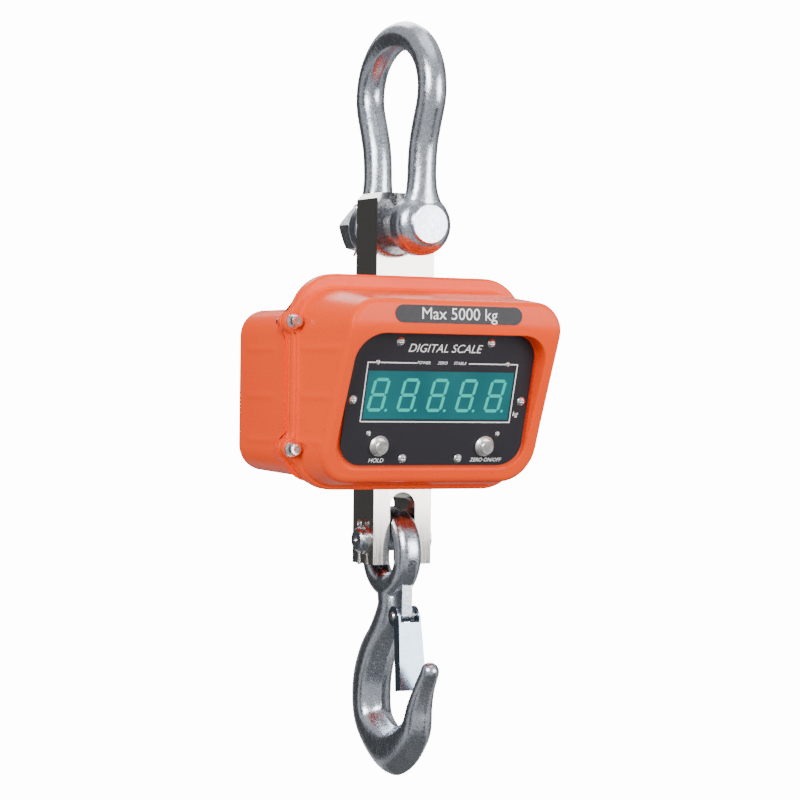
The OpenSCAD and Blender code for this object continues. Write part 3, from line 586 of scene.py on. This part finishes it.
def make_hook():
    """The forged eye hook. Round its bowl the bar has a ridge along its middle and an edge at each side."""
    eye_z = box_mm("load_hook")[1][2] - EYE_OUTER
    rows = fine([(y, z + DATUM, a, b, w) for y, z, a, b, w in HOOK_ROWS], 8)

    def section(row, c, s):
        bowl = smoothstep(-196.0 + DATUM, -222.0 + DATUM, row[1])
        power = 2.0 + (0.35 if c > 0 else 0.15) * bowl
        hollow = 0.05 if c > 0 else 0.19
        r = (abs(c) ** power + abs(s) ** power) ** (-1 / power)
        r *= 1 - hollow * bowl * math.sin(math.pi * abs(s))
        return (row[3] if c > 0 else row[2]) * r * c, row[4] * r * s

    tip = rows[-1]
    parts = [loft("hook_bar", bar_loops(rows, 64, section), True, True)]
    parts.append(ball("hook_tip", (0, tip[0], tip[1]), TIP_R))
    profile = rounded_ring_profile(EYE_HOLE, EYE_OUTER, EYE_HALF, 8.5)
    loops = []
    for a in np.linspace(0, 2 * math.pi, 120, endpoint=False):
        loops.append(np.array([(x, r * math.cos(a), eye_z + r * math.sin(a)) for r, x in profile]))
    parts.append(loft("hook_eye", loops, closed=True))
    pivot_low, pivot_high = box_mm("latch_pin")
    pivot = (pivot_low + pivot_high) / 2
    side = np.array([RIB_W, 0.0, 0.0])
    parts.append(rod("rib", pivot - side, pivot + side, RIB_R))
    web_low = (-RIB_W, pivot[1] - RIB_R, pivot[2])
    parts.append(block("rib_web", web_low, (RIB_W, pivot[1] + 16, pivot[2] + 27)))
    obj = join("hook_forging", parts)
    remesh(obj, 0.6, 2)
    cut(obj, [rod("tool", (-30, 0, eye_z), (30, 0, eye_z), EYE_HOLE, 128)])
    sharpen(obj, 50)
    return obj


def rounded_ring_profile(inner, outer, half, r):
    """Section of a ring, as radius and X, with round corners that are flatter round the hole."""
    points = []
    short = 0.8 * r
    corners = ((outer - r, 1, 0, r), (inner + short, 1, 90, short), (inner + short, -1, 180, short),
               (outer - r, -1, 270, r))
    for middle, side, start, size in corners:
        for i in range(8):
            a = math.radians(start + 90 * i / 7)
            points.append((middle + size * math.cos(a), side * (half - r) + r * math.sin(a)))
    return points


def ball(name, centre, radius):
    """A round ball."""
    loops = []
    for polar in np.linspace(0.02, math.pi - 0.02, 24):
        ring, z = radius * math.sin(polar), centre[2] + radius * math.cos(polar)
        loops.append(np.array([(centre[0] + ring * math.cos(a), centre[1] + ring * math.sin(a), z)
                               for a in np.linspace(0, 2 * math.pi, 32, endpoint=False)]))
    return loft(name, loops, True, True)


# ---------------------------------------------------------------- materials

def material(name, base, metallic, roughness):
    """A principled material. Returns it with its node tree and its shader."""
    mat = bpy.data.materials.new(name)
    mat.use_nodes = True
    tree = mat.node_tree
    shader = tree.nodes["Principled BSDF"]
    shader.inputs["Base Color"].default_value = (*base, 1.0)
    shader.inputs["Metallic"].default_value = metallic
    shader.inputs["Roughness"].default_value = roughness
    return mat, tree, shader


def noise(tree, scale, detail=3.0, roughness=0.5, stretch=None):
    """Noise in the object's own coordinates; scale is in features per metre."""
    coords = tree.nodes.new("ShaderNodeTexCoord")
    node = tree.nodes.new("ShaderNodeTexNoise")
    node.inputs["Scale"].default_value = scale
    node.inputs["Detail"].default_value = detail
    node.inputs["Roughness"].default_value = roughness
    if stretch:
        mapping = tree.nodes.new("ShaderNodeMapping")
        mapping.inputs["Scale"].default_value = stretch
        tree.links.new(coords.outputs["Object"], mapping.inputs["Vector"])
        tree.links.new(mapping.outputs["Vector"], node.inputs["Vector"])
    else:
        tree.links.new(coords.outputs["Object"], node.inputs["Vector"])
    return node.outputs["Fac"]


def ramp(tree, value, low, high, out_low, out_high):
    """The value's range from low to high, stretched to run from out_low to out_high."""
    node = tree.nodes.new("ShaderNodeMapRange")
    node.inputs["From Min"].default_value = low
    node.inputs["From Max"].default_value = high
    node.inputs["To Min"].default_value = out_low
    node.inputs["To Max"].default_value = out_high
    tree.links.new(value, node.inputs["Value"])
    return node.outputs["Result"]


def colour_mix(tree, value, first, second):
    """A colour between two, as the value runs from 0 to 1."""
    node = tree.nodes.new("ShaderNodeValToRGB")
    node.color_ramp.elements[0].color = (*first, 1.0)
    node.color_ramp.elements[1].color = (*second, 1.0)
    tree.links.new(value, node.inputs["Fac"])
    return node.outputs["Color"]


def bump(tree, shader, height, strength, distance, under=None):
    """Surface relief, on top of the relief in under. Returns the new normal."""
    node = tree.nodes.new("ShaderNodeBump")
    node.inputs["Strength"].default_value = strength
    node.inputs["Distance"].default_value = distance
    tree.links.new(height, node.inputs["Height"])
    if under is not None:
        tree.links.new(under, node.inputs["Normal"])
    tree.links.new(node.outputs["Normal"], shader.inputs["Normal"])
    return node.outputs["Normal"]


def forged_zinc():
    """Hot-dip zinc on a forging: a blue grey with a coarse, speckled grain."""
    mat, tree, shader = material("forged_zinc", (0.50, 0.54, 0.62), 1.0, 0.35)
    coarse = noise(tree, 240.0, 4.0, 0.6)
    grain = noise(tree, 820.0, 3.0, 0.7)
    patches = noise(tree, 38.0, 3.0, 0.5)
    speckle = ramp(tree, grain, 0.36, 0.60, 0.0, 1.0)
    light = colour_mix(tree, speckle, (0.46, 0.50, 0.57), (0.80, 0.86, 0.94))
    dull = colour_mix(tree, speckle, (0.33, 0.36, 0.42), (0.64, 0.69, 0.78))
    blend = tree.nodes.new("ShaderNodeMix")
    blend.data_type = "RGBA"
    tree.links.new(ramp(tree, patches, 0.35, 0.65, 0.0, 1.0), blend.inputs["Factor"])
    tree.links.new(dull, blend.inputs[6])
    tree.links.new(light, blend.inputs[7])
    tree.links.new(blend.outputs[2], shader.inputs["Base Color"])
    tree.links.new(ramp(tree, coarse, 0.3, 0.7, 0.14, 0.30), shader.inputs["Roughness"])
    first = bump(tree, shader, coarse, 0.35, 0.0006)
    bump(tree, shader, grain, 0.35, 0.0004, first)
    return mat


def bright_steel(name, base, low, high):
    """Plated steel whose roughness wanders between low and high."""
    mat, tree, shader = material(name, base, 1.0, 0.22)
    speckle = noise(tree, 420.0, 2.0)
    tree.links.new(ramp(tree, speckle, 0.3, 0.7, low, high), shader.inputs["Roughness"])
    bump(tree, shader, speckle, 0.08, 0.0002)
    return mat


def polished_cell():
    """The load cell: polished nickel plate with a faint upright grind."""
    mat, tree, shader = material("polished_cell", (0.60, 0.57, 0.54), 1.0, 0.10)
    grind = noise(tree, 60.0, 3.0, 0.5, stretch=(14.0, 14.0, 0.6))
    tree.links.new(ramp(tree, grind, 0.3, 0.7, 0.07, 0.15), shader.inputs["Roughness"])
    bump(tree, shader, grind, 0.03, 0.0002)
    return mat


def orange_enamel():
    """Stove enamel with a slight orange peel."""
    mat, tree, shader = material("orange_enamel", (1.0, 0.072, 0.005), 0.0, 0.36)
    tone = noise(tree, 14.0, 2.0)
    depth = ramp(tree, tone, 0.3, 0.7, 0.0, 1.0)
    blend = colour_mix(tree, depth, (0.98, 0.064, 0.004), (1.0, 0.078, 0.006))
    tree.links.new(blend, shader.inputs["Base Color"])
    peel = noise(tree, 330.0, 2.0)
    tree.links.new(ramp(tree, peel, 0.3, 0.7, 0.26, 0.36), shader.inputs["Roughness"])
    shader.inputs["Specular IOR Level"].default_value = 0.18
    bump(tree, shader, peel, 0.06, 0.0004)
    return mat


def black_enamel():
    """The satin black of the display panel and the capacity plate."""
    mat, tree, shader = material("black_enamel", (0.020, 0.018, 0.023), 0.0, 0.42)
    shader.inputs["Specular IOR Level"].default_value = 0.3
    grain = noise(tree, 1500.0, 2.0)
    tree.links.new(ramp(tree, grain, 0.3, 0.7, 0.36, 0.50), shader.inputs["Roughness"])
    bump(tree, shader, grain, 0.06, 0.0001)
    return mat


def plain(name, base, roughness, metallic=0.0):
    """One colour with a fine grain."""
    mat, tree, shader = material(name, base, metallic, roughness)
    grain = noise(tree, 700.0, 2.0)
    uneven = ramp(tree, grain, 0.3, 0.7, roughness - 0.05, roughness + 0.07)
    tree.links.new(uneven, shader.inputs["Roughness"])
    bump(tree, shader, grain, 0.08, 0.0002)
    return mat


def display_tint():
    """The green filter in front of the digits, with a faint glow behind it."""
    mat, tree, shader = material("display_tint", (0.010, 0.10, 0.11), 0.0, 0.25)
    shade = noise(tree, 22.0, 2.0)
    depth = ramp(tree, shade, 0.3, 0.7, 0.0, 1.0)
    blend = colour_mix(tree, depth, (0.006, 0.080, 0.095), (0.010, 0.115, 0.125))
    tree.links.new(blend, shader.inputs["Base Color"])
    shader.inputs["Emission Color"].default_value = (0.005, 0.10, 0.11, 1.0)
    shader.inputs["Emission Strength"].default_value = 0.4
    return mat


def lit_segment():
    """A lit stroke of a digit."""
    mat, tree, shader = material("lit_segment", (0.004, 0.32, 0.26), 0.0, 0.4)
    shader.inputs["Emission Color"].default_value = (0.002, 0.46, 0.38, 1.0)
    shader.inputs["Emission Strength"].default_value = 0.6
    glow = noise(tree, 500.0, 1.0)
    tree.links.new(ramp(tree, glow, 0.3, 0.7, 0.35, 0.45), shader.inputs["Roughness"])
    return mat


MATS = {
    "zinc": forged_zinc(),
    "steel": bright_steel("bright_steel", (0.76, 0.76, 0.77), 0.16, 0.28),
    "chrome": bright_steel("button_chrome", (0.90, 0.89, 0.87), 0.30, 0.42),
    "sheet": bright_steel("latch_sheet", (0.30, 0.38, 0.48), 0.18, 0.28),
    "cell": polished_cell(),
    "orange": orange_enamel(),
    "black": black_enamel(),
    "print": plain("white_print", (0.95, 0.95, 0.95), 0.5),
    "rubber": plain("rubber", (0.025, 0.025, 0.025), 0.75),
    "tint": display_tint(),
    "lit": lit_segment(),
    "board": plain("circuit_board", (0.02, 0.13, 0.06), 0.5),
    "case": plain("battery_case", (0.08, 0.08, 0.09), 0.5),
    "brass": plain("brass_foil", (0.72, 0.50, 0.20), 0.35, 1.0),
}
SLOT_MATS = {
    "galvanised_forging": "zinc", "steel_parts": "steel", "polished_cell": "cell", "latch_sheet": "sheet",
    "orange_paint": "orange", "black_panel": "black", "display_filter": "tint", "led_segments": "lit",
    "circuit_board": "board", "battery_case": "case", "button_metal": "chrome", "brass_foil": "brass",
    "rubber_seal": "rubber",
}


def finish_piece(obj, body, slot, *replaced):
    """Gives a piece the material of its slot, ties it to its body and hides the CAD nodes that it stands for.
    """
    obj.data.materials.clear()
    obj.data.materials.append(MATS[SLOT_MATS[slot]])
    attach(obj, body)
    if replaced:
        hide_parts(*replaced)


for part in frame["record"]["subparts"]:
    mesh_slots = nodes[part["node"]].material_slots
    for mesh_slot in mesh_slots:
        mesh_slot.material = MATS[SLOT_MATS[part["material_slot"]]]

# ---------------------------------------------------------------- the castings and forgings

finish_piece(make_front_housing(), "scale", "orange_paint", "front_housing")
finish_piece(make_rear_housing(), "scale", "orange_paint", "rear_housing")
finish_piece(make_bow(), "shackle", "galvanised_forging", "shackle_bow")
finish_piece(make_hook(), "hook", "galvanised_forging", "load_hook")

# ---------------------------------------------------------------- display and print


def panel_shape(name, outlines, n, thick, mat, slot):
    """Thin flat shapes on the display panel, from outlines in its own u and v."""
    verts, faces = [], []
    for outline in outlines:
        first = len(verts)
        count = len(outline)
        verts += [on_panel(u, v, n) for u, v in outline] + [on_panel(u, v, n + thick) for u, v in outline]
        faces.append(tuple(range(first + count - 1, first - 1, -1)))
        faces.append(tuple(range(first + count, first + 2 * count)))
        for k in range(count):
            after = (k + 1) % count
            faces.append((first + k, first + after, first + count + after, first + count + k))
    obj = new_object(name, verts, faces, smooth=False)
    finish_piece(obj, "scale", slot)
    obj.data.materials[0] = MATS[mat]
    return obj


DIGIT_PITCH = 27.4
DIGIT_V = 3.9
DIGIT_W = 15.2
DIGIT_H = 28.4
SEGMENT_T = 2.7
SLANT = math.tan(math.radians(9.0))


def bar_outline(a, b, t):
    """A segment from a to b with pointed ends."""
    a, b = np.array(a, float), np.array(b, float)
    along = (b - a) / np.linalg.norm(b - a)
    side = np.array([-along[1], along[0]]) * t / 2
    short = along * t / 2
    return [a, a + short + side, b - short + side, b, b - short - side, a + short - side]


def digit_outlines(centre):
    """The seven strokes and the dot of a slanted digit."""
    half_w, half_h, t = (DIGIT_W - SEGMENT_T) / 2, (DIGIT_H - SEGMENT_T) / 2, SEGMENT_T
    gap = 0.35
    right = [(half_w, half_h), (half_w, 0), (half_w, -half_h)]
    corners = [(-half_w, half_h)] + right + [(-half_w, -half_h), (-half_w, 0)]
    pairs = [(0, 1), (1, 2), (2, 3), (3, 4), (4, 5), (5, 0), (5, 2)]
    out = []
    for i, j in pairs:
        a, b = np.array(corners[i], float), np.array(corners[j], float)
        along = (b - a) / np.linalg.norm(b - a)
        out.append(bar_outline(a + along * gap, b - along * gap, t))
    dot = (half_w + 4.2, -half_h - 0.2)
    out.append([(dot[0] + 1.25 * math.cos(a), dot[1] + 1.25 * math.sin(a))
                for a in np.linspace(0, 2 * math.pi, 20, endpoint=False)])
    return [[(centre + u - 1.6 + SLANT * v, DIGIT_V + v) for u, v in outline] for outline in out]


segments = [outline for i in range(-2, 3) for outline in digit_outlines(i * DIGIT_PITCH)]
panel_shape("digit_segments", segments, -0.3, 0.06, "lit", "led_segments")


def line_outline(a, b, t):
    """A straight line of thickness t with square ends."""
    a, b = np.array(a, float), np.array(b, float)
    along = (b - a) / np.linalg.norm(b - a) * t / 2
    side = np.array([-along[1], along[0]])
    return [a - along - side, b + along - side, b + along + side, a - along + side]


FRAME_HALF, FRAME_TOP, FRAME_LOW, FRAME_T = 70.2, 31.2, -18.8, 0.95
frame_lines = [
    line_outline((-FRAME_HALF, FRAME_TOP), (-26, FRAME_TOP), FRAME_T),
    line_outline((24, FRAME_TOP), (FRAME_HALF, FRAME_TOP), FRAME_T),
    line_outline((FRAME_HALF, FRAME_TOP), (FRAME_HALF, FRAME_LOW), FRAME_T),
    line_outline((FRAME_HALF, FRAME_LOW), (-FRAME_HALF, FRAME_LOW), FRAME_T),
    line_outline((-FRAME_HALF, FRAME_LOW), (-FRAME_HALF, FRAME_TOP), FRAME_T)]
for index, outline in enumerate(frame_lines):
    panel_shape(f"frame_line_{index}", [outline], 0.0, 0.04 + 0.003 * index, "print", "black_panel")


def lettering(name, words, place, size, slant):
    """Generic words as thin raised print. place(u, v, n) puts a flat point on the object."""
    curve = bpy.data.curves.new(name, "FONT")
    curve.body = words
    curve.size = size
    curve.align_x = "CENTER"
    curve.align_y = "CENTER"
    curve.shear = slant
    curve.resolution_u = 4
    curve.extrude = 0.02
    text = bpy.data.objects.new(name, curve)
    bpy.context.scene.collection.objects.link(text)
    bpy.context.view_layer.update()
    mesh = bpy.data.meshes.new_from_object(text.evaluated_get(bpy.context.evaluated_depsgraph_get()))
    bpy.data.objects.remove(text)
    for vert in mesh.vertices:
        vert.co = Vector(place(vert.co.x, vert.co.y, vert.co.z + 0.03)) * MM
    obj = bpy.data.objects.new(name, mesh)
    bpy.context.scene.collection.objects.link(obj)
    finish_piece(obj, "scale", "black_panel")
    obj.data.materials[0] = MATS["print"]
    return obj


def panel_place(u0, v0):
    """A function that puts flat points on the panel, around (u0, v0)."""
    return lambda u, v, n: on_panel(u0 + u, v0 + v, n)


PLATE_LO, PLATE_HI = box_mm("capacity_plate")
PLATE_MID = (PLATE_LO + PLATE_HI) / 2


def plate_place(u, v, n):
    """Puts a flat point on the middle of the capacity plate."""
    return np.array([u, PLATE_LO[1] - n, PLATE_MID[2] + v])


lettering("title_print", "DIGITAL SCALE", panel_place(-1.0, 43.5), 10.0, 0.25)
lettering("lamp_print_left", "POWER", panel_place(-19.0, 31.4), 3.6, 0.2)
lettering("lamp_print_middle", "ZERO", panel_place(-1.5, 31.4), 3.6, 0.2)
lettering("lamp_print_right", "STABLE", panel_place(15.0, 31.4), 3.6, 0.2)
lettering("unit_print", "kg", panel_place(74.6, -11.4), 6.0, 0.2)
lettering("left_key_print", "HOLD", panel_place(-51.0, -52.0), 5.0, 0.2)
lettering("right_key_print", "ZERO ON/OFF", panel_place(52.5, -51.5), 4.6, 0.2)
lettering("capacity_print", "Max 5000 kg", plate_place, 13.8, 0.0)

# ---------------------------------------------------------------- stage, light and camera


def stage_plane(name, size, location, rotation, colour, seen=True, glow=0.0):
    """A square sheet that is not part of the object."""
    mesh = bpy.data.meshes.new(name)
    h = size / 2
    mesh.from_pydata([(-h, -h, 0), (h, -h, 0), (h, h, 0), (-h, h, 0)], [], [(0, 1, 2, 3)])
    obj = bpy.data.objects.new(name, mesh)
    obj.location = location
    obj.rotation_euler = rotation
    bpy.context.scene.collection.objects.link(obj)
    mat, _, shader = material(name, colour, 0.0, 0.8)
    shader.inputs["Emission Color"].default_value = (1.0, 1.0, 1.0, 1.0)
    shader.inputs["Emission Strength"].default_value = glow
    mesh.materials.append(mat)
    obj.visible_camera = seen
    return obj


def area_light(name, location, target, width, height, watts):
    """A soft white light that faces its target."""
    light = bpy.data.lights.new(name, "AREA")
    light.shape = "RECTANGLE"
    light.size, light.size_y = width, height
    light.energy = watts
    obj = bpy.data.objects.new(name, light)
    obj.location = location
    obj.rotation_euler = (Vector(target) - Vector(location)).to_track_quat("-Z", "Y").to_euler()
    bpy.context.scene.collection.objects.link(obj)
    return obj


MIDDLE = Vector((0, 0, DATUM * MM))
BACKDROP_GLOW = 14.0
BACKDROP_R = 30000.0
FLOOR_GLOW = 13.5
FLOOR_Z = -1.35


def toward_azimuth(azimuth, elevation, distance):
    """A point around the object: azimuth 0 is in front of it and 90 to its right."""
    a, e = math.radians(azimuth), math.radians(elevation)
    return MIDDLE + distance * Vector((math.sin(a) * math.cos(e), -math.cos(a) * math.cos(e), math.sin(e)))


def card(name, azimuth, elevation, distance, width, height, level):
    """A panel that faces the object and that only reflections see."""
    place = toward_azimuth(azimuth, elevation, distance)
    turn_to = (MIDDLE - place).to_track_quat("Z", "Y").to_euler()
    obj = stage_plane(name, 1.0, place, turn_to, (level, level, level), seen=False)
    obj.scale = (width, height, 1.0)
    obj.visible_diffuse = False
    obj.visible_shadow = False
    return obj


def white_dome():
    """A bright backdrop all round that only the camera sees."""
    dome = ball("backdrop", tuple(MIDDLE / MM), BACKDROP_R)
    mat = bpy.data.materials.new("backdrop_white")
    mat.use_nodes = True
    mat.node_tree.nodes.clear()
    glow = mat.node_tree.nodes.new("ShaderNodeEmission")
    output = mat.node_tree.nodes.new("ShaderNodeOutputMaterial")
    glow.inputs["Color"].default_value = (1.0, 1.0, 1.0, 1.0)
    glow.inputs["Strength"].default_value = BACKDROP_GLOW
    mat.node_tree.links.new(glow.outputs["Emission"], output.inputs["Surface"])
    dome.data.materials.append(mat)
    dome.visible_diffuse = False
    dome.visible_glossy = False
    dome.visible_transmission = False
    dome.visible_shadow = False


white_dome()
floor = stage_plane("floor", 50.0, (0, 0, FLOOR_Z), (0, 0, 0), (0.86, 0.86, 0.86), glow=FLOOR_GLOW)
floor.visible_diffuse = False
floor.visible_glossy = False
card("dark_left", -152.0, 0.0, 2.4, 2.2, 2.6, 0.05)
card("dark_side", -92.0, 0.0, 2.2, 0.8, 2.6, 0.06)
card("dark_right", 98.0, 0.0, 2.2, 1.1, 2.6, 0.08)
card("dark_front", 32.0, -27.0, 2.0, 1.1, 0.75, 0.05)
card("dark_below", 0.0, -88.0, 0.75, 1.5, 1.5, 0.08)
card("grey_back", 152.0, 6.0, 2.4, 1.8, 2.2, 0.16)

world = bpy.data.worlds.new("studio")
bpy.context.scene.world = world
world.use_nodes = True
background = world.node_tree.nodes["Background"]
background.inputs["Color"].default_value = (1.0, 1.0, 1.0, 1.0)
background.inputs["Strength"].default_value = 0.6

area_light("front_right", toward_azimuth(30, 8, 2.4), MIDDLE, 1.4, 1.15, 46)
area_light("key", toward_azimuth(-56, 24, 2.4), MIDDLE, 1.3, 1.1, 62)
area_light("fill_back", toward_azimuth(160, 42, 2.4), MIDDLE, 1.6, 1.2, 28)
area_light("overhead", toward_azimuth(20, 80, 1.8), MIDDLE, 1.4, 1.4, 8)

CAMERA_AZIMUTH = math.radians(-28.0)
CAMERA_DISTANCE = 2.268
CAMERA_ROLL = math.radians(0.75)
AIM_RIGHT = math.radians(0.1375)        # how far the camera looks past the middle of the housing
AIM_DOWN = math.radians(0.3222)
camera_data = bpy.data.cameras.new("camera")
camera_data.lens = 120.0
camera_data.sensor_width = 36.0
camera = bpy.data.objects.new("camera", camera_data)
bpy.context.scene.collection.objects.link(camera)
away = Vector((math.sin(CAMERA_AZIMUTH), -math.cos(CAMERA_AZIMUTH), 0))
camera.location = MIDDLE + away * CAMERA_DISTANCE
turn = Matrix.Rotation(-AIM_RIGHT, 4, "Z")
aim = (-away).to_track_quat("-Z", "Y").to_matrix().to_4x4()
roll = Matrix.Rotation(CAMERA_ROLL, 4, "Z")
tilt = Matrix.Rotation(-AIM_DOWN, 4, "X")
camera.rotation_euler = (turn @ aim @ roll @ tilt).to_euler()
bpy.context.scene.camera = camera
